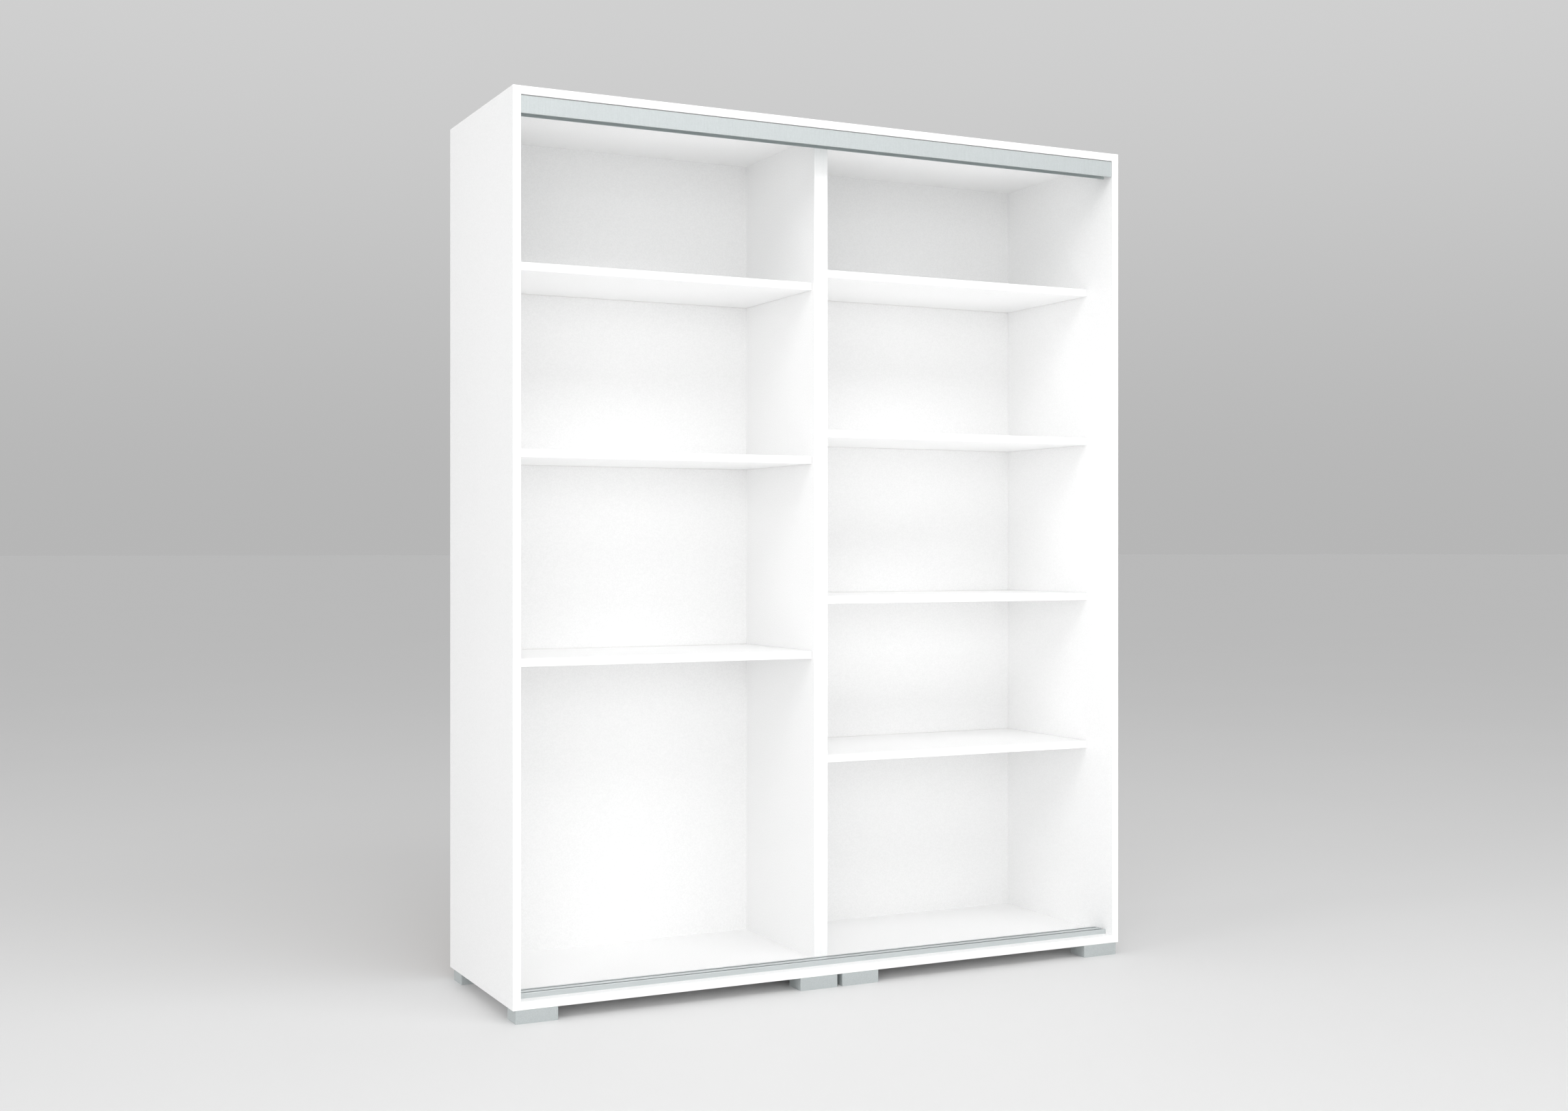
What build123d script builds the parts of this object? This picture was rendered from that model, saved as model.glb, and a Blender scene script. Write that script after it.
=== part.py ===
from build123d import *
import os
from math import ceil

# A two-bay wardrobe for sliding doors: white boards, aluminium door rails, block feet.
# Millimetres. X runs to the right, Y from the front to the back, Z up from the floor.

# Carcass boards
board = 18.0                # faced chipboard
back_thickness = 3.0        # hardboard back
carcass_height = 2000.0     # without the feet
carcass_depth = 480.0       # boards alone, without the back
bay_width = 764.0           # clear width of each half
left_bays = (717.5, 449.0, 398.0)           # clear heights from the bottom up
right_bays = (466.0, 364.5, 383.0, 366.5)   # the top bay of each half takes what is left
divider_setback = 98.0      # divider's front edge behind the carcass front
back_margin = 1.0           # back panels stop short of the carcass outline
back_seam = 1.0             # between the two back panels

# Plastic bands on the front edges
edge_band = 1.0
edge_band_radius = 0.7

# Shelves and the bent wires that carry them, hidden in a saw kerf in each end
shelf_setback = 110.0       # shelf's front edge behind the carcass front
shelf_end_gap = 1.0
shelf_back_gap = 1.0
wire_diameter = 3.0
wire_bend = 4.0             # radius of the wire's centre line
wire_reach = 10.0           # leg inside the board
wire_standoff = 5.0         # wire's centre line from the board's face
wire_inset = 45.0           # legs from the shelf's front and rear edges
kerf_clearance = 0.3
kerf_depth = 8.0
kerf_stop = 30.0            # whole board left at the shelf's front

# Door lanes, shared by the guide rail above and the track below
lane_middle = 53.0          # middle of the two lanes behind the carcass front
lane_pitch = 24.0
rail_end_gap = 0.5          # rails stop short of the side panels

# Fascia under the top panel's front edge
fascia_setback = 3.0
fascia_height = 40.0
fascia_wall = 1.5
fascia_groove = 2.0         # shadow groove under the top panel
fascia_groove_depth = 1.0
fascia_lip = 4.0            # lip turned in along the bottom
fascia_rail_gap = 2.0       # fascia's flange stops short of the guide rail

# Guide rail behind the fascia
guide_channel = 6.0
guide_wall = 1.5
guide_base = 2.0
guide_screen = 40.0         # front wall, which screens the lanes
guide_height = 30.0         # other walls

# Running track on the bottom panel
track_width = 48.0
track_height = 11.5         # of the lip along the front
track_lip_rise = 1.5        # lip above the lands behind it
track_wall = 1.6
track_floor = 2.0
track_groove = 6.0
track_lip_radius = 1.2

# Feet, hollow underneath
foot_width = 97.0
foot_depth = 60.0
foot_height = 30.0
foot_wall = 3.0
foot_top = 4.0
foot_rib = 2.0
foot_rib_recess = 4.0       # ribs stay clear of the floor
foot_corner_radius = 1.5
foot_boss_diameter = 12.0
foot_boss_height = 3.0
foot_side_inset = 6.5       # from the carcass sides, and from the middle
foot_front_inset = 1.0
foot_rear_inset = 10.0
foot_hole_end_inset = 22.0
foot_hole_edge_inset = 15.0

# Corner joints: cam locks with bolts, and dowels
cam_diameter = 15.0
cam_height = 12.5
cam_distance = 34.0         # from the board's end to the cam's middle
cam_inset = 100.0           # from the front and rear edges
cam_play = 0.1              # round the bolt's neck and head in the cam
cam_cross_length = 9.0      # for a screwdriver
cam_cross_width = 2.5
cam_cross_depth = 2.0
bolt_thread_diameter = 5.0
bolt_thread_length = 11.0
bolt_shank_diameter = 7.0
bolt_neck_diameter = 4.0
bolt_head_length = 4.0
dowel_diameter = 8.0
dowel_length = 30.0
dowel_chamfer = 1.0
dowel_seat = 11.5           # length in the board that is met face on
dowel_spacing = 32.0        # from the cam or long screw beside it

# Long screws into the divider's ends, and short ones that join its two boards
long_screw_diameter = 7.0
long_screw_thread_diameter = 5.0
long_screw_head_diameter = 10.0
long_screw_length = 50.0
long_screw_socket = 4.0     # hexagon for the key, across its flats
long_screw_socket_depth = 3.0
divider_screw_inset = 60.0  # from the divider's front edge
joining_screw_diameter = 4.0
joining_screw_head_diameter = 8.0
joining_screw_length = 30.0
joining_screw_inset = 120.0

# Other screws and nails
cross_length = 4.0          # for a screwdriver, in the larger heads
cross_width = 1.0
cross_depth = 1.2
rail_screw_diameter = 3.5
rail_screw_head_diameter = 7.0
rail_screw_head_height = 2.0
rail_screw_length = 15.0
rail_screw_count = 5
rail_screw_end_inset = 120.0
track_screw_diameter = 3.0
track_screw_head_diameter = 5.0
track_screw_length = 14.0
track_screw_cross_length = 2.4
track_screw_cross_width = 0.8
track_screw_cross_depth = 0.9
foot_screw_diameter = 4.0
foot_screw_head_diameter = 8.0
foot_screw_head_height = 2.5
foot_screw_length = 20.0
nail_diameter = 1.8
nail_head_diameter = 5.0
nail_head_height = 0.8
nail_length = 20.0
nail_spacing = 340.0
nail_end_inset = 60.0

# Clearances
fit = 0.05                  # round each fastener in its hole
hole_end = 0.5              # past each fastener's tip

# Places worked out from the sizes above
depth = carcass_depth + back_thickness
front = -depth / 2
boards_back = front + carcass_depth
half_width = bay_width + 2 * board
wall_left = -bay_width - board              # inner faces of the side panels
wall_right = -wall_left
floor_underside = foot_height
floor_top = floor_underside + board
carcass_top = floor_underside + carcass_height
ceiling = carcass_top - board
divider_front = front + divider_setback
shelf_front = front + shelf_setback
shelf_rear = boards_back - shelf_back_gap
lanes = [front + lane_middle + side * lane_pitch / 2 for side in (-1, 1)]
rail_length = 2 * (bay_width + board - rail_end_gap)

RIGHT, BACK, UP = Vector(1, 0, 0), Vector(0, 1, 0), Vector(0, 0, 1)
LEFT, FORWARD, DOWN = -RIGHT, -BACK, -UP


# Building blocks

def block(x, y, z):
    """A box between the low and high value of each axis."""
    size = (x[1] - x[0], y[1] - y[0], z[1] - z[0])
    return Pos(x[0], y[0], z[0]) * Box(*size, align=Align.MIN)


def turned(*steps):
    """A solid turned about +Z from (start radius, end radius, length) steps."""
    outline = [(0, 0)]
    height = 0
    for start_radius, end_radius, length in steps:
        for corner in ((start_radius, height), (end_radius, height + length)):
            if corner != outline[-1]:
                outline.append(corner)
        height += length
    outline.append((0, height))
    return revolve(Plane.XZ * make_face(Polyline(*outline, close=True)), Axis.Z)


def place(shape, point, direction):
    """Puts a shape that stands on the origin along +Z at a point, along a direction."""
    return Plane(origin=point, z_dir=direction) * shape


def countersunk(diameter, head_diameter, length, gap=0.0, past=0.0):
    """A countersunk screw, or with a gap the hole that takes it."""
    radius = diameter / 2
    cone = (head_diameter - diameter) / 2
    return turned(
        (head_diameter / 2 + gap, radius + gap, cone),
        (radius + gap, radius + gap, length - cone + past),
    )


def headed(diameter, head_diameter, head_height, length):
    """A screw or nail whose head lies below the origin and its shank above."""
    fastener = turned(
        (head_diameter / 2, head_diameter / 2, head_height),
        (diameter / 2, diameter / 2, length),
    )
    return Pos(0, 0, -head_height) * fastener


def cross_recess(length, width, depth):
    """A cross for a screwdriver, sunk along +Z from the origin."""
    bars = ((length, width), (width, length))
    return [block((-x / 2, x / 2), (-y / 2, y / 2), (0, depth)) for x, y in bars]


def shank_hole(diameter, length):
    return turned((diameter / 2 + fit, diameter / 2 + fit, length + hole_end))


def spread(low, high, count):
    """Evenly spaced places from low to high."""
    return [low + (high - low) * step / (count - 1) for step in range(count)]


def extrusion(profile):
    """A profile drawn in depth and height, drawn out between the side panels."""
    return extrude(Plane.YZ * profile, rail_length / 2, both=True)


def strip(y, z):
    """A rectangle of a profile between the low and high value of depth and height."""
    return Pos(y[0], z[0]) * Rectangle(y[1] - y[0], z[1] - z[0], align=Align.MIN)


nodes = {}


def banded(name, band_name, x, y, z, along):
    """A board with its front edge under a plastic band, as two nodes."""
    nodes[name] = block(x, (y[0] + edge_band, y[1]), z)
    band = block(x, (y[0], y[0] + edge_band), z)
    front_edges = band.edges().filter_by(along).group_by(Axis.Y)[0]
    nodes[band_name] = fillet(front_edges, edge_band_radius)


# Carcass: sides full height, top and bottom between them, a double divider set back

full_depth = (front, boards_back)
full_height = (floor_underside, carcass_top)
between_sides = (wall_left, wall_right)
banded("side_panel_left", "side_edge_band_left", (-half_width, wall_left), full_depth, full_height, Axis.Z)
banded("side_panel_right", "side_edge_band_right", (wall_right, half_width), full_depth, full_height, Axis.Z)
banded("top_panel", "top_edge_band", between_sides, full_depth, (ceiling, carcass_top), Axis.X)
banded("bottom_panel", "bottom_edge_band", between_sides, full_depth, (floor_underside, floor_top), Axis.X)
divider_depth = (divider_front, boards_back)
inside = (floor_top, ceiling)
banded("divider_panel_left", "divider_edge_band_left", (-board, 0), divider_depth, inside, Axis.Z)
banded("divider_panel_right", "divider_edge_band_right", (0, board), divider_depth, inside, Axis.Z)

back_depth = (boards_back, front + depth)
back_height = (floor_underside + back_margin, carcass_top - back_margin)
nodes["back_panel_left"] = block((-half_width + back_margin, -back_seam / 2), back_depth, back_height)
nodes["back_panel_right"] = block((back_seam / 2, half_width - back_margin), back_depth, back_height)

cuts = {name: [] for name in nodes}


# Shelves: each hangs on two bent wires and draws out forwards off them

def shelf_wire(wall, inwards, level):
    """A wire bent into a wide U, with both legs in the board."""
    legs = (shelf_front + wire_inset, shelf_rear - wire_inset)
    inner, outer = wall - inwards * wire_reach, wall + inwards * wire_standoff
    route = FilletPolyline(
        (inner, legs[0], level), (outer, legs[0], level), (outer, legs[1], level), (inner, legs[1], level),
        radius=wire_bend,
    )
    return sweep(Plane(origin=route @ 0, z_dir=route % 0) * Circle(wire_diameter / 2), route)


def shelf_levels(bays):
    """The undersides of the shelves above the given bays."""
    levels = []
    level = floor_top
    for clear in bays:
        levels.append(level + clear)
        level += clear + board
    return levels


def shelves(side, walls, boards, levels):
    """One half's shelves, with their wires and the wires' holes."""
    wires = []
    for number, level in enumerate(levels, start=1):
        name = f"{side}_shelf_{number}"
        ends = (walls[0] + shelf_end_gap, walls[1] - shelf_end_gap)
        banded(name, f"{name}_edge_band", ends, (shelf_front, shelf_rear), (level, level + board), Axis.X)
        middle = level + board / 2
        half_kerf = wire_diameter / 2 + kerf_clearance
        kerf_run = (shelf_front + kerf_stop, shelf_rear)
        kerf_rise = (middle - half_kerf, middle + half_kerf)
        nodes[name] -= block((ends[0], ends[0] + kerf_depth), kerf_run, kerf_rise)
        nodes[name] -= block((ends[1] - kerf_depth, ends[1]), kerf_run, kerf_rise)
        for wall, inwards, panel in zip(walls, (1, -1), boards):
            wires.append(shelf_wire(wall, inwards, middle))
            for leg in (shelf_front + wire_inset, shelf_rear - wire_inset):
                hole = shank_hole(wire_diameter, wire_reach)
                cuts[panel].append(place(hole, (wall, leg, middle), RIGHT * -inwards))
    nodes[f"{side}_shelf_wires"] = Compound(children=wires)


left_levels, right_levels = shelf_levels(left_bays), shelf_levels(right_bays)
shelves("left", (wall_left, -board), ("side_panel_left", "divider_panel_left"), left_levels)
shelves("right", (board, wall_right), ("divider_panel_right", "side_panel_right"), right_levels)


# Door rails: a fascia, a guide rail with two channels and a track with two grooves

guide_front = lanes[0] - guide_channel / 2 - guide_wall
guide_rear = lanes[1] + guide_channel / 2 + guide_wall


def fascia_profile():
    """A thin strip, stepped back under the top panel and turned in along the bottom."""
    face = front + fascia_setback
    neck = face + fascia_groove_depth
    bottom = ceiling - fascia_height
    groove = ceiling - fascia_groove
    flange_end = guide_front - fascia_rail_gap
    return make_face(Polyline(
        (face, bottom), (face, groove), (neck, groove), (neck, ceiling),
        (flange_end, ceiling), (flange_end, ceiling - fascia_wall),
        (neck + fascia_wall, ceiling - fascia_wall), (neck + fascia_wall, groove - fascia_wall),
        (face + fascia_wall, groove - fascia_wall), (face + fascia_wall, bottom + fascia_wall),
        (face + fascia_lip, bottom + fascia_wall), (face + fascia_lip, bottom),
        close=True,
    ))


def guide_profile():
    """A base under the top panel with a wall each side of both channels."""
    profile = strip((guide_front, guide_rear), (ceiling - guide_base, ceiling))
    profile += strip((guide_front, guide_front + guide_wall), (ceiling - guide_screen, ceiling))
    channel_side = guide_channel / 2
    for inner in (lanes[0] + channel_side, lanes[1] - channel_side - guide_wall, lanes[1] + channel_side):
        profile += strip((inner, inner + guide_wall), (ceiling - guide_height, ceiling))
    return profile


def track_profile():
    """Three hollow lands with a running groove between each two, and a raised lip along the front."""
    low, high = front + lane_middle - track_width / 2, front + lane_middle + track_width / 2
    lip_top = floor_top + track_height
    top = lip_top - track_lip_rise
    profile = strip((low, high), (floor_top, top))
    profile += strip((low, low + track_wall), (floor_top, lip_top))
    lip_corner = profile.vertices().group_by(Axis.Y)[-1].sort_by(Axis.X)[0]
    rear_corner = profile.vertices().group_by(Axis.X)[-1].sort_by(Axis.Y)[-1]
    profile = fillet([lip_corner, rear_corner], track_lip_radius)
    land_start = low
    for lane in lanes:
        groove = (lane - track_groove / 2, lane + track_groove / 2)
        profile -= strip(groove, (floor_top + track_floor, top))
        profile -= strip((land_start + track_wall, groove[0] - track_wall), (floor_top, top - track_wall))
        land_start = groove[1]
    return profile - strip((land_start + track_wall, high - track_wall), (floor_top, top - track_wall))


nodes["top_fascia"] = extrusion(fascia_profile())
nodes["top_guide_rail"] = extrusion(guide_profile())
nodes["bottom_track"] = extrusion(track_profile())
cuts |= {name: [] for name in ("top_fascia", "top_guide_rail", "bottom_track")}

last_screw = rail_length / 2 - rail_screw_end_inset
screw_places = spread(-last_screw, last_screw, rail_screw_count)
screw_cross = cross_recess(cross_length, cross_width, cross_depth)
rail_screw = headed(rail_screw_diameter, rail_screw_head_diameter, rail_screw_head_height, rail_screw_length)
rail_screw -= [Pos(0, 0, -rail_screw_head_height) * bar for bar in screw_cross]


def rail_screws(name, rail, y, plate):
    """A row of screws up through a rail's plate into the top panel."""
    screws = []
    for x in screw_places:
        point = (x, y, ceiling - plate)
        screws.append(place(rail_screw, point, UP))
        for cut_node in (rail, "top_panel"):
            cuts[cut_node].append(place(shank_hole(rail_screw_diameter, rail_screw_length), point, UP))
    nodes[name] = Compound(children=screws)


fascia_flange_middle = (front + fascia_setback + fascia_groove_depth + guide_front) / 2
rail_screws("fascia_screws", "top_fascia", fascia_flange_middle, fascia_wall)
rail_screws("guide_rail_screws", "top_guide_rail", front + lane_middle, guide_base)

track_screw_sizes = (track_screw_diameter, track_screw_head_diameter, track_screw_length)
track_screw_hole = countersunk(*track_screw_sizes, gap=fit, past=hole_end)
track_screw = countersunk(*track_screw_sizes)
track_screw -= cross_recess(track_screw_cross_length, track_screw_cross_width, track_screw_cross_depth)
track_screws = []
for lane in lanes:
    for x in screw_places:
        point = (x, lane, floor_top + track_floor)
        track_screws.append(place(track_screw, point, DOWN))
        for cut_node in ("bottom_track", "bottom_panel"):
            cuts[cut_node].append(place(track_screw_hole, point, DOWN))
nodes["track_screws"] = Compound(children=track_screws)


# Feet: moulded blocks with ribs and screw bosses inside, one pair under each half's edges

foot_seat = foot_height - foot_top - foot_boss_height       # screw heads, from the floor
foot_hole_x = foot_width / 2 - foot_hole_end_inset
foot_hole_y = foot_depth / 2 - foot_hole_edge_inset
foot_holes = [(x, y) for x in (-foot_hole_x, foot_hole_x) for y in (-foot_hole_y, foot_hole_y)]


def moulded_foot():
    """A foot with its middle over the origin, open below."""
    half_x, half_y = foot_width / 2, foot_depth / 2
    foot = block((-half_x, half_x), (-half_y, half_y), (0, foot_height))
    foot = fillet(foot.edges().filter_by(Axis.Z), foot_corner_radius)
    hollow_x, hollow_y = half_x - foot_wall, half_y - foot_wall
    roof = foot_height - foot_top
    foot -= block((-hollow_x, hollow_x), (-hollow_y, hollow_y), (0, roof))
    rib_rise = (foot_rib_recess, roof)
    foot += block((-hollow_x, hollow_x), (-foot_rib / 2, foot_rib / 2), rib_rise)
    foot += block((-foot_rib / 2, foot_rib / 2), (-hollow_y, hollow_y), rib_rise)
    boss_radius = foot_boss_diameter / 2
    boss = turned((boss_radius, boss_radius, foot_boss_height))
    hole = shank_hole(foot_screw_diameter, foot_screw_length)
    for x, y in foot_holes:
        foot += Pos(x, y, foot_seat) * boss
        foot -= Pos(x, y, foot_seat) * hole
    return foot


outer_foot = half_width - foot_side_inset - foot_width / 2
centre_foot = foot_side_inset + foot_width / 2
foot_columns = {
    "left": -outer_foot,
    "centre_left": -centre_foot,
    "centre_right": centre_foot,
    "right": outer_foot,
}
foot_rows = {
    "front": front + foot_front_inset + foot_depth / 2,
    "rear": boards_back - foot_rear_inset - foot_depth / 2,
}
foot_screw = headed(foot_screw_diameter, foot_screw_head_diameter, foot_screw_head_height, foot_screw_length)
foot_screw -= [Pos(0, 0, -foot_screw_head_height) * bar for bar in screw_cross]
foot_screws = []
one_foot = moulded_foot()
for row, foot_y in foot_rows.items():
    for column, foot_x in foot_columns.items():
        nodes[f"foot_{row}_{column}"] = Pos(foot_x, foot_y, 0) * one_foot
        for x, y in foot_holes:
            point = (foot_x + x, foot_y + y, foot_seat)
            foot_screws.append(place(foot_screw, point, UP))
            cuts["bottom_panel"].append(place(shank_hole(foot_screw_diameter, foot_screw_length), point, UP))
nodes["foot_screws"] = Compound(children=foot_screws)


# Corner joints: a bolt in the side panel is drawn up by a cam in the panel it meets

def cam_lock():
    """A cam with its top face on the origin, its mouth towards +X and its bolt at half a board."""
    cam = turned((cam_diameter / 2, cam_diameter / 2, cam_height))
    cam -= cross_recess(cam_cross_length, cam_cross_width, cam_cross_depth)
    mouth_radius = bolt_neck_diameter / 2 + cam_play
    pocket_radius = bolt_shank_diameter / 2 + cam_play
    pocket_length = bolt_head_length + 2 * cam_play
    mouth = turned((mouth_radius, mouth_radius, cam_diameter))
    pocket = turned((pocket_radius, pocket_radius, pocket_length))
    cam -= place(mouth, (0, 0, board / 2), RIGHT)
    return cam - place(pocket, (-pocket_length / 2, 0, board / 2), RIGHT)


def cam_bolt():
    """A bolt that stands on the side panel's face, with its thread below the origin."""
    shank = cam_distance - cam_diameter / 2 - cam_play
    neck = cam_distance - bolt_head_length / 2 - shank
    thread_radius, shank_radius = bolt_thread_diameter / 2, bolt_shank_diameter / 2
    neck_radius = bolt_neck_diameter / 2
    bolt = turned(
        (thread_radius, thread_radius, bolt_thread_length),
        (shank_radius, shank_radius, shank),
        (neck_radius, neck_radius, neck),
        (shank_radius, shank_radius, bolt_head_length),
    )
    return Pos(0, 0, -bolt_thread_length) * bolt


dowel_tip = dowel_diameter / 2 - dowel_chamfer
dowel = turned(
    (dowel_tip, dowel_diameter / 2, dowel_chamfer),
    (dowel_diameter / 2, dowel_diameter / 2, dowel_length - 2 * dowel_chamfer),
    (dowel_diameter / 2, dowel_tip, dowel_chamfer),
)
dowels = []


def add_dowel(point, direction, met_panel, ended_panel):
    """A dowel that runs from the face of one board into the end of another."""
    dowels.append(place(dowel, point - direction * dowel_seat, direction))
    cuts[met_panel].append(place(shank_hole(dowel_diameter, dowel_seat), point, -direction))
    cuts[ended_panel].append(place(shank_hole(dowel_diameter, dowel_length - dowel_seat), point, direction))


cam_bore = turned((cam_diameter / 2 + fit, cam_diameter / 2 + fit, cam_height + hole_end))
thread_hole = shank_hole(bolt_thread_diameter, bolt_thread_length)
shank_bore = shank_hole(bolt_shank_diameter, cam_distance)
cam_locks, cam_bolts = [], []
corner_rows = ((front + cam_inset, 1), (boards_back - cam_inset, -1))
corner_sides = (("side_panel_left", wall_left, 1), ("side_panel_right", wall_right, -1))
for panel, face, into in (("top_panel", carcass_top, DOWN), ("bottom_panel", floor_underside, UP)):
    middle = face + into.Z * board / 2
    for side_panel, wall, inwards in corner_sides:
        direction = RIGHT * inwards
        for y, dowel_way in corner_rows:
            cam_point = (wall + inwards * cam_distance, y, face)
            mouth_plane = Plane(origin=cam_point, x_dir=-direction, z_dir=into)
            cam_locks.append(mouth_plane * cam_lock())
            cuts[panel].append(place(cam_bore, cam_point, into))
            bolt_point = Vector(wall, y, middle)
            cam_bolts.append(place(cam_bolt(), bolt_point, direction))
            cuts[side_panel].append(place(thread_hole, bolt_point, -direction))
            cuts[panel].append(place(shank_bore, bolt_point, direction))
            dowel_point = Vector(wall, y + dowel_way * dowel_spacing, middle)
            add_dowel(dowel_point, direction, side_panel, panel)
nodes["cam_locks"] = Compound(children=cam_locks)
nodes["cam_bolts"] = Compound(children=cam_bolts)


# Divider: long screws and dowels at its ends, and short screws that join its two boards
# behind the ends of the right half's shelves

def long_screw(gap=0.0, past=0.0):
    """A long screw with a thick shank through the panel and a thinner thread in the divider."""
    head, shank = long_screw_head_diameter / 2, long_screw_diameter / 2
    thread = long_screw_thread_diameter / 2
    cone = head - shank
    return turned(
        (head + gap, shank + gap, cone), (shank + gap, shank + gap, board - cone),
        (thread + gap, thread + gap, long_screw_length - board + past),
    )


socket = extrude(RegularPolygon(long_screw_socket / 2, 6, major_radius=False), long_screw_socket_depth)
divider_screw = long_screw() - socket
divider_screws = []
divider_rows = ((divider_front + divider_screw_inset, 1), (boards_back - cam_inset, -1))
for panel, face, into in (("top_panel", carcass_top, DOWN), ("bottom_panel", floor_underside, UP)):
    for divider, x in (("divider_panel_left", -board / 2), ("divider_panel_right", board / 2)):
        for y, dowel_way in divider_rows:
            divider_screws.append(place(divider_screw, (x, y, face), into))
            for cut_node in (panel, divider):
                cuts[cut_node].append(place(long_screw(gap=fit, past=hole_end), (x, y, face), into))
            dowel_point = Vector(x, y + dowel_way * dowel_spacing, face) + into * board
            add_dowel(dowel_point, into, panel, divider)
nodes["divider_screws"] = Compound(children=divider_screws)
nodes["dowels"] = Compound(children=dowels)

joining_screw_sizes = (joining_screw_diameter, joining_screw_head_diameter, joining_screw_length)
joining_screw_hole = countersunk(*joining_screw_sizes, gap=fit, past=hole_end)
joining_screw = countersunk(*joining_screw_sizes) - screw_cross
joining_screws = []
for level in right_levels:
    for y in (divider_front + joining_screw_inset, boards_back - joining_screw_inset):
        point = (board, y, level + board / 2)
        joining_screws.append(place(joining_screw, point, LEFT))
        for cut_node in ("divider_panel_right", "divider_panel_left"):
            cuts[cut_node].append(place(joining_screw_hole, point, LEFT))
nodes["divider_joining_screws"] = Compound(children=joining_screws)


# Back: two panels nailed to the rear edges of every board they cover

nail = headed(nail_diameter, nail_head_diameter, nail_head_height, nail_length)
nail_head_hole = shank_hole(nail_head_diameter, nail_head_height - hole_end)
nails = []


def add_nail(x, z, back, panel):
    """A nail driven flush with the back's rear face."""
    point = (x, front + depth - nail_head_height, z)
    nails.append(place(nail, point, FORWARD))
    cuts[back].append(place(nail_head_hole, (x, front + depth, z), FORWARD))
    for cut_node in (back, panel):
        cuts[cut_node].append(place(shank_hole(nail_diameter, nail_length), point, FORWARD))


def nail_row(low, high):
    """Nail places from edge to edge, no further apart than the nail spacing."""
    first, last = low + nail_end_inset, high - nail_end_inset
    return spread(first, last, ceil((last - first) / nail_spacing) + 1)


for back, side_panel, divider, way in (
    ("back_panel_left", "side_panel_left", "divider_panel_left", -1),
    ("back_panel_right", "side_panel_right", "divider_panel_right", 1),
):
    for z in nail_row(floor_top, ceiling):
        add_nail(way * (half_width - board / 2), z, back, side_panel)
        add_nail(way * board / 2, z, back, divider)
    for x in nail_row(board, board + bay_width):
        add_nail(way * x, carcass_top - board / 2, back, "top_panel")
        add_nail(way * x, floor_underside + board / 2, back, "bottom_panel")
nodes["back_panel_nails"] = Compound(children=nails)


# All holes are cut at the end, and each node is written to its own file

os.makedirs("parts", exist_ok=True)
for name, shape in nodes.items():
    if cuts.get(name):
        shape = shape - cuts[name]
    export_step(shape, f"parts/{name}.step")
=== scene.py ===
import bpy
import math
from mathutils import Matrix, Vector

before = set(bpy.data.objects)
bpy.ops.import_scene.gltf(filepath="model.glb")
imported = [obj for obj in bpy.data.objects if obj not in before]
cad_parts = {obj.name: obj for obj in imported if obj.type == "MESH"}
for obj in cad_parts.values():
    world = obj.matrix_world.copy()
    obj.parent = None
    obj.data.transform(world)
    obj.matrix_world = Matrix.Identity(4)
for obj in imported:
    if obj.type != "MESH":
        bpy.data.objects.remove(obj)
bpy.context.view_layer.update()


# Boards: chipboard with a white melamine film pressed on both faces, sawn and drilled afterwards.
# The film has a fine pearl texture. The bare core shows only in saw kerfs, drilled holes and rear edges.
# The sides run full height, with the top, bottom and double divider between them; shelves rest on wires.

def feed(tree, socket, value):
    """Links a socket to another node's output, or gives it a plain value."""
    if isinstance(value, bpy.types.NodeSocket):
        tree.links.new(value, socket)
    else:
        socket.default_value = value


def add_node(tree, kind, inputs=None, **settings):
    """Adds a shader node with its settings and its inputs."""
    made = tree.nodes.new(kind)
    for name, value in settings.items():
        setattr(made, name, value)
    for key, value in (inputs or {}).items():
        feed(tree, made.inputs[key], value)
    return made


def calculate(tree, operation, first, second=0.0):
    return add_node(tree, "ShaderNodeMath", {0: first, 1: second}, operation=operation).outputs[0]


def blend_value(tree, mask, first, second):
    """Goes from the first value, where the mask is 0, to the second, where it is 1."""
    return add_node(tree, "ShaderNodeMix", {0: mask, 2: first, 3: second}, data_type="FLOAT").outputs[0]


def blend_colour(tree, mask, first, second):
    """Goes from the first colour, where the mask is 0, to the second, where it is 1."""
    return add_node(tree, "ShaderNodeMix", {0: mask, 6: first, 7: second}, data_type="RGBA").outputs[2]


def remap(tree, value, low, high):
    """Turns a value from 0 to 1 into one from low to high."""
    limits = {"Value": value, "To Min": low, "To Max": high}
    return add_node(tree, "ShaderNodeMapRange", limits).outputs[0]


def weigh(tree, first, second, first_share):
    """Adds two values from 0 to 1, the first by its share and the second by the rest."""
    first_part = remap(tree, first, 0.0, first_share)
    return calculate(tree, "ADD", first_part, remap(tree, second, 0.0, 1.0 - first_share))


def roughen_core(tree, skin_roughness, covered, added):
    """Adds roughness where the skin doesn't cover the core."""
    bare = calculate(tree, "SUBTRACT", 1.0, covered)
    return calculate(tree, "ADD", skin_roughness, calculate(tree, "MULTIPLY", bare, added))


def raise_surface(tree, shader, height):
    """Tilts the shader's normal by a height in metres."""
    bump = add_node(tree, "ShaderNodeBump", {"Height": height, "Distance": 1.0})
    tree.links.new(bump.outputs["Normal"], shader["Normal"])


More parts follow.
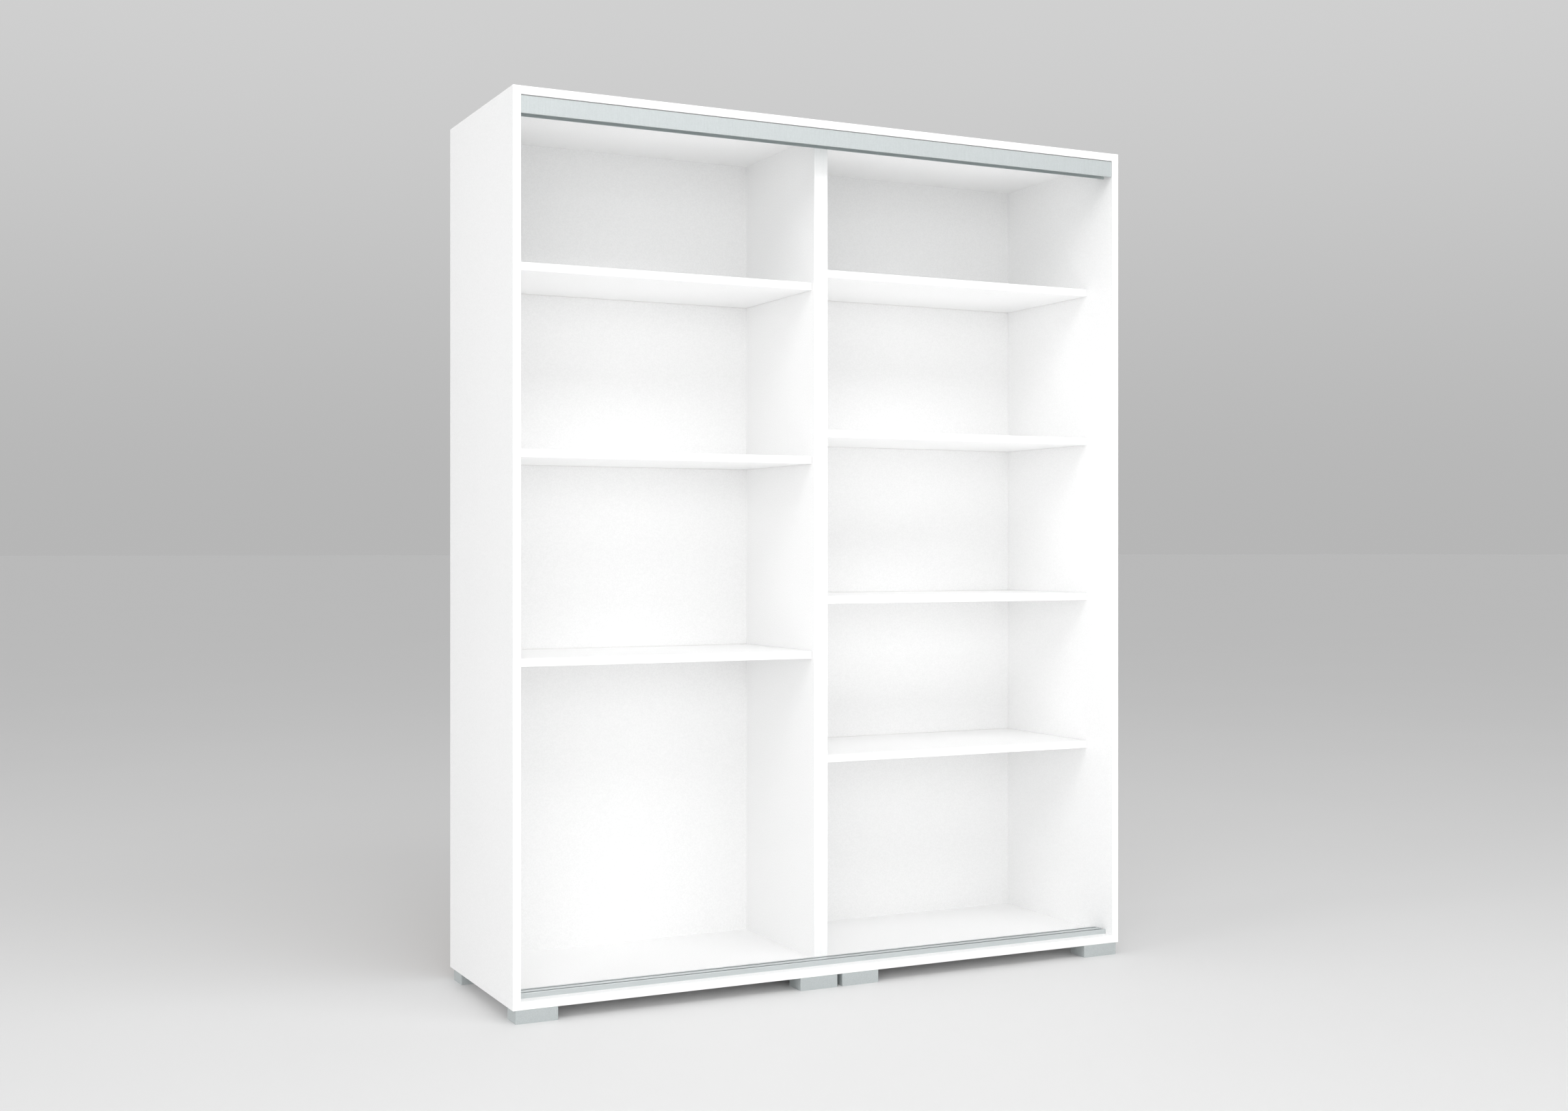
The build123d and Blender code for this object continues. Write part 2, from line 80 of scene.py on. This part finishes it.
def new_group(name, inputs, outputs):
    """Starts a node group; sockets are (name, kind, default) and (name, kind)."""
    tree = bpy.data.node_groups.new(name, "ShaderNodeTree")
    for socket_name, kind, default in inputs:
        socket = tree.interface.new_socket(socket_name, in_out="INPUT", socket_type=f"NodeSocket{kind}")
        socket.default_value = default
    for socket_name, kind in outputs:
        tree.interface.new_socket(socket_name, in_out="OUTPUT", socket_type=f"NodeSocket{kind}")
    return tree, tree.nodes.new("NodeGroupInput").outputs, tree.nodes.new("NodeGroupOutput").inputs


def place_group(tree, group, **values):
    made = add_node(tree, "ShaderNodeGroup", node_tree=group)
    for name, value in values.items():
        feed(tree, made.inputs[name.replace("_", " ")], value)
    return made.outputs


def new_material(name, **shader_values):
    """A material with a Principled shader whose plain values are set on its own sockets."""
    material = bpy.data.materials.new(name)
    material.use_nodes = True
    tree = material.node_tree
    shader = tree.nodes["Principled BSDF"]
    for socket_name, value in shader_values.items():
        shader.inputs[socket_name.replace("_", " ")].default_value = value
    return material, tree, shader.inputs


def dress(material, *names):
    for name in names:
        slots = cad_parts[name].data.materials
        slots.clear()
        slots.append(material)


def pressed_film():
    """The fine texture of a pressed or moulded skin, and the faint clouding of a large plain face."""
    speck_coarseness = 0.37
    tree, given, result = new_group(
        "pressed_film",
        [("Texture Scale", "Float", 900.0), ("Cloud Scale", "Float", 2.5)],
        [("Texture", "Float"), ("Cloud", "Float"), ("Speck", "Float")],
    )
    place = add_node(tree, "ShaderNodeTexCoord").outputs["Object"]
    texture = add_node(tree, "ShaderNodeTexNoise", {
        "Vector": place, "Scale": given["Texture Scale"], "Detail": 3.0, "Roughness": 0.6,
    })
    cloud = add_node(tree, "ShaderNodeTexNoise", {
        "Vector": place, "Scale": given["Cloud Scale"], "Detail": 4.0, "Roughness": 0.55,
    })
    speck_scale = calculate(tree, "MULTIPLY", given["Texture Scale"], speck_coarseness)
    speck = add_node(tree, "ShaderNodeTexNoise", {"Vector": place, "Scale": speck_scale, "Detail": 2.0})
    sharpened = add_node(tree, "ShaderNodeMapRange", {
        "Value": speck.outputs[0], "From Min": 0.35, "From Max": 0.65,
    })
    for name, made in (("Texture", texture), ("Cloud", cloud), ("Speck", sharpened)):
        tree.links.new(made.outputs[0], result[name])
    return tree


def chipboard_core():
    """Pressed wood chips, coarse and tan, as a saw or a drill leaves them."""
    light_chip, dark_chip = (0.62, 0.44, 0.27, 1.0), (0.30, 0.19, 0.10, 1.0)
    tree, given, result = new_group(
        "chipboard_core", [("Chip Scale", "Float", 420.0)], [("Color", "Color"), ("Height", "Float")],
    )
    place = add_node(tree, "ShaderNodeTexCoord").outputs["Object"]
    chips = add_node(tree, "ShaderNodeTexVoronoi", {"Vector": place, "Scale": given["Chip Scale"]})
    shade = add_node(tree, "ShaderNodeSeparateColor", {"Color": chips.outputs["Color"]}).outputs[0]
    tree.links.new(blend_colour(tree, shade, dark_chip, light_chip), result["Color"])
    tree.links.new(chips.outputs["Distance"], result["Height"])
    return tree


def faced_mask():
    """1 on a board's two film-faced sides and on its sealed ends, 0 on bare core.
    Across points through the board, and Sealed along it to the ends that are covered."""
    box_middle = (0.5, 0.5, 0.5)
    face_start, end_start = 0.495, 0.4995       # from the middle of the board's box, which is 1 wide
    tree, given, result = new_group(
        "faced_mask",
        [("Across", "Vector", (1.0, 0.0, 0.0)), ("Sealed", "Vector", (0.0, 0.0, 0.0))],
        [("Mask", "Float")],
    )
    place = add_node(tree, "ShaderNodeTexCoord").outputs["Generated"]
    offset = add_node(tree, "ShaderNodeVectorMath", {0: place, 1: box_middle}, operation="SUBTRACT")
    reach = []
    for direction in (given["Across"], given["Sealed"]):
        vectors = {0: offset.outputs[0], 1: direction}
        along = add_node(tree, "ShaderNodeVectorMath", vectors, operation="DOT_PRODUCT")
        reach.append(calculate(tree, "ABSOLUTE", along.outputs["Value"]))
    across, sealed = reach
    faced = calculate(tree, "GREATER_THAN", across, face_start)
    ends = calculate(tree, "GREATER_THAN", sealed, end_start)
    tree.links.new(calculate(tree, "MAXIMUM", faced, ends), result["Mask"])
    return tree


pressed_film_group = pressed_film()
chipboard_core_group = chipboard_core()
faced_mask_group = faced_mask()


def white_board(name, across, sealed):
    """White film on the faces and sealed ends, bare chipboard elsewhere."""
    film_white, film_shade = (0.930, 0.930, 0.929, 1.0), (0.865, 0.866, 0.866, 1.0)
    cloud_share = 0.3
    smoothest, dullest, core_added = 0.40, 0.52, 0.4
    pearl_depth, chip_depth = 0.00003, 0.0003
    material, tree, shader = new_material(name)
    film = place_group(tree, pressed_film_group, Texture_Scale=900.0, Cloud_Scale=2.2)
    core = place_group(tree, chipboard_core_group, Chip_Scale=420.0)
    faced = place_group(tree, faced_mask_group, Across=across, Sealed=sealed)["Mask"]
    tone = weigh(tree, film["Cloud"], film["Speck"], cloud_share)
    white = blend_colour(tree, tone, film_shade, film_white)
    tree.links.new(blend_colour(tree, faced, core["Color"], white), shader["Base Color"])
    film_roughness = remap(tree, film["Cloud"], smoothest, dullest)
    tree.links.new(roughen_core(tree, film_roughness, faced, core_added), shader["Roughness"])
    film_height = calculate(tree, "MULTIPLY", film["Texture"], pearl_depth)
    core_height = calculate(tree, "MULTIPLY", core["Height"], chip_depth)
    raise_surface(tree, shader, blend_value(tree, faced, core_height, film_height))
    return material


left_shelves = [f"left_shelf_{number}" for number in (1, 2, 3)]
right_shelves = [f"right_shelf_{number}" for number in (1, 2, 3, 4)]
shelves = left_shelves + right_shelves
side_to_side, upwards = (1.0, 0.0, 0.0), (0.0, 0.0, 1.0)
dress(white_board("upright_board", side_to_side, upwards),
      "side_panel_left", "side_panel_right", "divider_panel_left", "divider_panel_right")
dress(white_board("level_board", upwards, side_to_side), "top_panel", "bottom_panel", *shelves)


# Edge bands: strips of white plastic, a millimetre thick, glued to the boards' front edges.
# Their long edges are rounded over, and they are a little smoother and brighter than the film.

def edge_band(name, stretch):
    """White plastic with faint lines along the strip, left by the rounding cutter."""
    band_white, band_shade = (0.955, 0.956, 0.956, 1.0), (0.935, 0.937, 0.937, 1.0)
    cloud_share = 0.5
    smoothest, dullest = 0.22, 0.36
    texture_depth = 0.00001
    material, tree, shader = new_material(name)
    film = place_group(tree, pressed_film_group, Texture_Scale=600.0, Cloud_Scale=6.0)
    place = add_node(tree, "ShaderNodeTexCoord").outputs["Object"]
    stretched = add_node(tree, "ShaderNodeVectorMath", {0: place, 1: stretch}, operation="MULTIPLY")
    lines = add_node(tree, "ShaderNodeTexNoise", {
        "Vector": stretched.outputs[0], "Scale": 1.0, "Detail": 2.0,
    }).outputs[0]
    tone = weigh(tree, film["Cloud"], lines, cloud_share)
    tree.links.new(blend_colour(tree, tone, band_shade, band_white), shader["Base Color"])
    tree.links.new(remap(tree, lines, smoothest, dullest), shader["Roughness"])
    raise_surface(tree, shader, calculate(tree, "MULTIPLY", film["Texture"], texture_depth))
    return material


along_line, across_line = 12.0, 2500.0
dress(edge_band("upright_edge_band", (across_line, across_line, along_line)),
      "side_edge_band_left", "side_edge_band_right", "divider_edge_band_left", "divider_edge_band_right")
dress(edge_band("level_edge_band", (along_line, across_line, across_line)),
      "top_edge_band", "bottom_edge_band", *[f"{shelf}_edge_band" for shelf in shelves])


# Back: two panels of thin hardboard, nailed on from behind.
# The face towards the inside is lacquered satin white; the rear is bare brown fibre.

def hardboard_back():
    lacquer, lacquer_shade = (0.890, 0.890, 0.889, 1.0), (0.827, 0.828, 0.828, 1.0)
    fibre_dark, fibre_light = (0.165, 0.098, 0.052, 1.0), (0.300, 0.190, 0.105, 1.0)
    lacquer_thickness = 0.01        # as a share of the panel's own
    lacquer_cloud_share, fibre_cloud_share = 0.3, 0.35
    smoothest, dullest, fibre_added = 0.34, 0.46, 0.4
    lacquer_depth, fibre_depth = 0.00001, 0.0001
    material, tree, shader = new_material("hardboard_back")
    film = place_group(tree, pressed_film_group, Texture_Scale=900.0, Cloud_Scale=1.6)
    fibre = place_group(tree, pressed_film_group, Texture_Scale=1400.0, Cloud_Scale=9.0)
    place = add_node(tree, "ShaderNodeTexCoord").outputs["Generated"]
    through = add_node(tree, "ShaderNodeSeparateXYZ", {0: place}).outputs["Y"]
    lacquered = calculate(tree, "LESS_THAN", through, lacquer_thickness)
    fibre_tone = weigh(tree, fibre["Cloud"], fibre["Speck"], fibre_cloud_share)
    brown = blend_colour(tree, fibre_tone, fibre_dark, fibre_light)
    lacquer_tone = weigh(tree, film["Cloud"], film["Speck"], lacquer_cloud_share)
    white = blend_colour(tree, lacquer_tone, lacquer_shade, lacquer)
    tree.links.new(blend_colour(tree, lacquered, brown, white), shader["Base Color"])
    lacquer_roughness = remap(tree, film["Cloud"], smoothest, dullest)
    tree.links.new(roughen_core(tree, lacquer_roughness, lacquered, fibre_added), shader["Roughness"])
    lacquer_height = calculate(tree, "MULTIPLY", film["Texture"], lacquer_depth)
    fibre_height = calculate(tree, "MULTIPLY", fibre["Texture"], fibre_depth)
    raise_surface(tree, shader, blend_value(tree, lacquered, fibre_height, lacquer_height))
    return material


dress(hardboard_back(), "back_panel_left", "back_panel_right")


# Door rails: aluminium extrusions, anodised silver and screwed to the top and bottom panels.
# The fascia is brushed up and down. Its recessed neck along the top is painted dark grey: painted shade
# standing in for the shadow in that groove.
# The guide rail and the track are left as drawn from the die.

def grey(level):
    return (level, level, level, 1.0)


def drawn_lines():
    """Fine lines in one direction, from brushing, from the extrusion die or from wood grain."""
    tree, given, result = new_group(
        "drawn_lines",
        [("Stretch", "Vector", (1000.0, 1000.0, 1000.0)), ("Cloud Scale", "Float", 14.0)],
        [("Lines", "Float"), ("Cloud", "Float")],
    )
    place = add_node(tree, "ShaderNodeTexCoord").outputs["Object"]
    vectors = {0: place, 1: given["Stretch"]}
    stretched = add_node(tree, "ShaderNodeVectorMath", vectors, operation="MULTIPLY")
    lines = add_node(tree, "ShaderNodeTexNoise", {
        "Vector": stretched.outputs[0], "Scale": 1.0, "Detail": 4.0, "Roughness": 0.65,
    })
    cloud = add_node(tree, "ShaderNodeTexNoise", {
        "Vector": place, "Scale": given["Cloud Scale"], "Detail": 3.0,
    })
    tree.links.new(lines.outputs[0], result["Lines"])
    tree.links.new(cloud.outputs[0], result["Cloud"])
    return tree


drawn_lines_group = drawn_lines()


def anodised_aluminium(name, light, dark, stretch, cloud_scale, roughness, line_depth,
                       metallic=1.0, neck_start=1.0):
    """Anodised metal with drawn lines; the neck starts at a share of the height of the piece's box and is
    painted dark grey there, as painted shade.
    """
    # The neck's dark grey is painted shade, standing in for the shadow in the recessed groove.
    neck_painted_shade = grey(0.30)
    line_share = 0.6
    material, tree, shader = new_material(name, Metallic=metallic)
    drawn = place_group(tree, drawn_lines_group, Stretch=stretch, Cloud_Scale=cloud_scale)
    tone = weigh(tree, drawn["Lines"], drawn["Cloud"], line_share)
    place = add_node(tree, "ShaderNodeTexCoord").outputs["Generated"]
    rise = add_node(tree, "ShaderNodeSeparateXYZ", {0: place}).outputs["Z"]
    # Above this height the colour switches to the painted shade.
    neck = calculate(tree, "GREATER_THAN", rise, neck_start)
    bright = blend_colour(tree, tone, dark, light)
    tree.links.new(blend_colour(tree, neck, bright, neck_painted_shade), shader["Base Color"])
    tree.links.new(remap(tree, drawn["Lines"], *roughness), shader["Roughness"])
    raise_surface(tree, shader, calculate(tree, "MULTIPLY", drawn["Lines"], line_depth))
    return material


along_rail = (9.0, 1800.0, 1800.0)
up_fascia = (420.0, 420.0, 24.0)
# The fascia's top neck, above 0.951 of its box's height, gets the painted shade.
dress(anodised_aluminium(
    "fascia_aluminium", light=(0.575, 0.612, 0.616, 1.0), dark=(0.405, 0.434, 0.438, 1.0),
    stretch=up_fascia, cloud_scale=240.0, roughness=(0.52, 0.64), line_depth=0.00002,
    metallic=0.6, neck_start=0.951,
), "top_fascia")
dress(anodised_aluminium(
    "guide_rail_aluminium", light=(0.612, 0.670, 0.675, 1.0), dark=(0.513, 0.572, 0.576, 1.0),
    stretch=along_rail, cloud_scale=14.0, roughness=(0.36, 0.48), line_depth=0.00001, metallic=0.6,
), "top_guide_rail")
dress(anodised_aluminium(
    "track_aluminium", light=(0.686, 0.724, 0.729, 1.0), dark=(0.583, 0.620, 0.625, 1.0),
    stretch=along_rail, cloud_scale=14.0, roughness=(0.32, 0.44), line_depth=0.00001,
), "bottom_track")


# Feet: hollow blocks of silver-grey moulded plastic, screwed up into the bottom panel.
# The outer faces have a fine spark-eroded grain from the mould.

def moulded_silver():
    light, dark = (0.499, 0.533, 0.537, 1.0), (0.415, 0.447, 0.450, 1.0)
    speck_share = 0.6
    smoothest, dullest = 0.42, 0.58
    grain_depth = 0.00008
    material, tree, shader = new_material("moulded_silver")
    film = place_group(tree, pressed_film_group, Texture_Scale=1500.0, Cloud_Scale=22.0)
    tone = weigh(tree, film["Speck"], film["Cloud"], speck_share)
    tree.links.new(blend_colour(tree, tone, dark, light), shader["Base Color"])
    tree.links.new(remap(tree, film["Cloud"], smoothest, dullest), shader["Roughness"])
    raise_surface(tree, shader, calculate(tree, "MULTIPLY", film["Texture"], grain_depth))
    return material


foot_rows = ("front", "rear")
foot_columns = ("left", "centre_left", "centre_right", "right")
dress(moulded_silver(), *[f"foot_{row}_{column}" for row in foot_rows for column in foot_columns])


# Steel fasteners and shelf wires: zinc plated, bright, with a faint blue cast.
# They sit in the boards, and only their heads and the wires' straight runs show.

def plated_metal(name, light, dark, roughness):
    texture_depth = 0.00002
    material, tree, shader = new_material(name, Metallic=1.0)
    film = place_group(tree, pressed_film_group, Texture_Scale=2200.0, Cloud_Scale=160.0)
    tree.links.new(blend_colour(tree, film["Cloud"], dark, light), shader["Base Color"])
    tree.links.new(remap(tree, film["Speck"], *roughness), shader["Roughness"])
    raise_surface(tree, shader, calculate(tree, "MULTIPLY", film["Texture"], texture_depth))
    return material


plated_steel = plated_metal(
    "plated_steel", light=(0.78, 0.80, 0.82, 1.0), dark=(0.58, 0.60, 0.63, 1.0), roughness=(0.22, 0.40),
)
dress(plated_steel,
      "left_shelf_wires", "right_shelf_wires", "cam_bolts", "divider_screws", "divider_joining_screws",
      "fascia_screws", "guide_rail_screws", "track_screws", "foot_screws", "back_panel_nails")


# Cam locks: round zinc die castings, let into the top and bottom panels near their ends.
# Each is turned with a screwdriver to draw in its bolt. They are duller and greyer than the steel.

cast_zinc = plated_metal(
    "cast_zinc", light=(0.56, 0.57, 0.58, 1.0), dark=(0.42, 0.43, 0.44, 1.0), roughness=(0.45, 0.62),
)
dress(cast_zinc, "cam_locks")


# Dowels: turned beech pegs, pressed into the boards' ends beside the cam bolts and the long screws.
# The grain runs from side to side, which is along the pegs at the corners.

def beech():
    light, dark = (0.62, 0.43, 0.25, 1.0), (0.45, 0.28, 0.14, 1.0)
    smoothest, dullest = 0.55, 0.75
    along_grain = (60.0, 900.0, 900.0)
    material, tree, shader = new_material("beech")
    drawn = place_group(tree, drawn_lines_group, Stretch=along_grain)
    tree.links.new(blend_colour(tree, drawn["Lines"], dark, light), shader["Base Color"])
    tree.links.new(remap(tree, drawn["Lines"], smoothest, dullest), shader["Roughness"])
    return material


dress(beech(), "dowels")


# Stage: a plain pale floor and light from all round, seen from the front and the left at chest height.
# Softboxes stand at the front left, high on the left and high in front, with a wide wall of light at the
# front right. Two more lie on the floor in front and point straight up, to light the ceilings of the bays.

def pale_floor():
    floor_shade, floor_light = grey(0.73), grey(0.75)
    smoothest, dullest = 0.62, 0.70
    material, tree, shader = new_material("pale_floor")
    film = place_group(tree, pressed_film_group, Texture_Scale=300.0, Cloud_Scale=0.8)
    tree.links.new(blend_colour(tree, film["Cloud"], floor_shade, floor_light), shader["Base Color"])
    tree.links.new(remap(tree, film["Cloud"], smoothest, dullest), shader["Roughness"])
    return material


floor_reach = 400.0
floor_mesh = bpy.data.meshes.new("floor")
floor_corners = [(-floor_reach, -floor_reach, 0.0), (floor_reach, -floor_reach, 0.0),
                 (floor_reach, floor_reach, 0.0), (-floor_reach, floor_reach, 0.0)]
floor_mesh.from_pydata(floor_corners, [], [(0, 1, 2, 3)])
floor_mesh.materials.append(pale_floor())
floor = bpy.data.objects.new("floor", floor_mesh)
bpy.context.scene.collection.objects.link(floor)


def studio_world():
    """Even light from all round, a little darker towards the horizon."""
    horizon, overhead = grey(0.47), grey(0.64)
    full_rise = 0.32
    world = bpy.data.worlds.new("studio")
    world.use_nodes = True
    tree = world.node_tree
    direction = add_node(tree, "ShaderNodeTexCoord").outputs["Generated"]
    upward = add_node(tree, "ShaderNodeSeparateXYZ", {0: direction}).outputs["Z"]
    rise = add_node(tree, "ShaderNodeMapRange", {"Value": upward, "From Min": 0.0, "From Max": full_rise},
                    interpolation_type="SMOOTHSTEP").outputs[0]
    tree.links.new(blend_colour(tree, rise, horizon, overhead), tree.nodes["Background"].inputs["Color"])
    return world


bpy.context.scene.world = studio_world()


def softbox(name, place, target, width, height, power, beam=180.0):
    """A rectangular soft light turned towards a point; a grid on its front narrows the beam."""
    light = bpy.data.lights.new(name, "AREA")
    light.shape = "RECTANGLE"
    light.size = width
    light.size_y = height
    light.energy = power
    light.spread = math.radians(beam)
    lamp = bpy.data.objects.new(name, light)
    lamp.location = place
    lamp.rotation_euler = (Vector(target) - Vector(place)).to_track_quat("-Z", "Y").to_euler()
    bpy.context.scene.collection.objects.link(lamp)


wardrobe_middle = (0.0, 0.0, 1.0)
upper_shelves = (0.0, 0.0, 1.6)
gridded_beam = 110.0
softbox("front_softbox", place=(-3.0, -5.5, 1.7), target=wardrobe_middle,
        width=4.0, height=2.4, power=30.7, beam=gridded_beam)
softbox("front_wall_of_light", place=(2.5, -7.5, 4.0), target=upper_shelves,
        width=14.0, height=5.0, power=129.0)
softbox("left_softbox", place=(-7.0, -1.0, 4.0), target=wardrobe_middle,
        width=5.0, height=3.0, power=55.0, beam=gridded_beam)
softbox("high_front_softbox", place=(0.0, -3.0, 4.2), target=wardrobe_middle,
        width=6.0, height=2.0, power=79.0)
up_light_front, up_light_level, up_light_aim = -1.7, 0.02, 2.0
for side, x, power in (("left", -1.0, 9.1), ("right", 1.4, 21.7)):
    softbox(f"{side}_up_light", place=(x, up_light_front, up_light_level),
            target=(x, up_light_front, up_light_aim), width=2.4, height=1.6, power=power)

photo_width = 2293
camera_focal_pixels = 2709.8
camera_drop_pixels = 7.2
camera_place = (-2.0487, -4.0852, 1.0242)
camera_level = math.radians(90.0)
camera_yaw = math.radians(-26.32)
camera_data = bpy.data.cameras.new("photo_camera")
camera_data.sensor_width = 36.0
camera_data.lens = camera_data.sensor_width * camera_focal_pixels / photo_width
camera_data.shift_y = -camera_drop_pixels / photo_width
camera = bpy.data.objects.new("photo_camera", camera_data)
camera.location = camera_place
camera.rotation_euler = (camera_level, 0.0, camera_yaw)
bpy.context.scene.collection.objects.link(camera)
bpy.context.scene.camera = camera
bpy.context.scene.view_settings.view_transform = "Standard"
bpy.context.scene.cycles.diffuse_bounces = 12
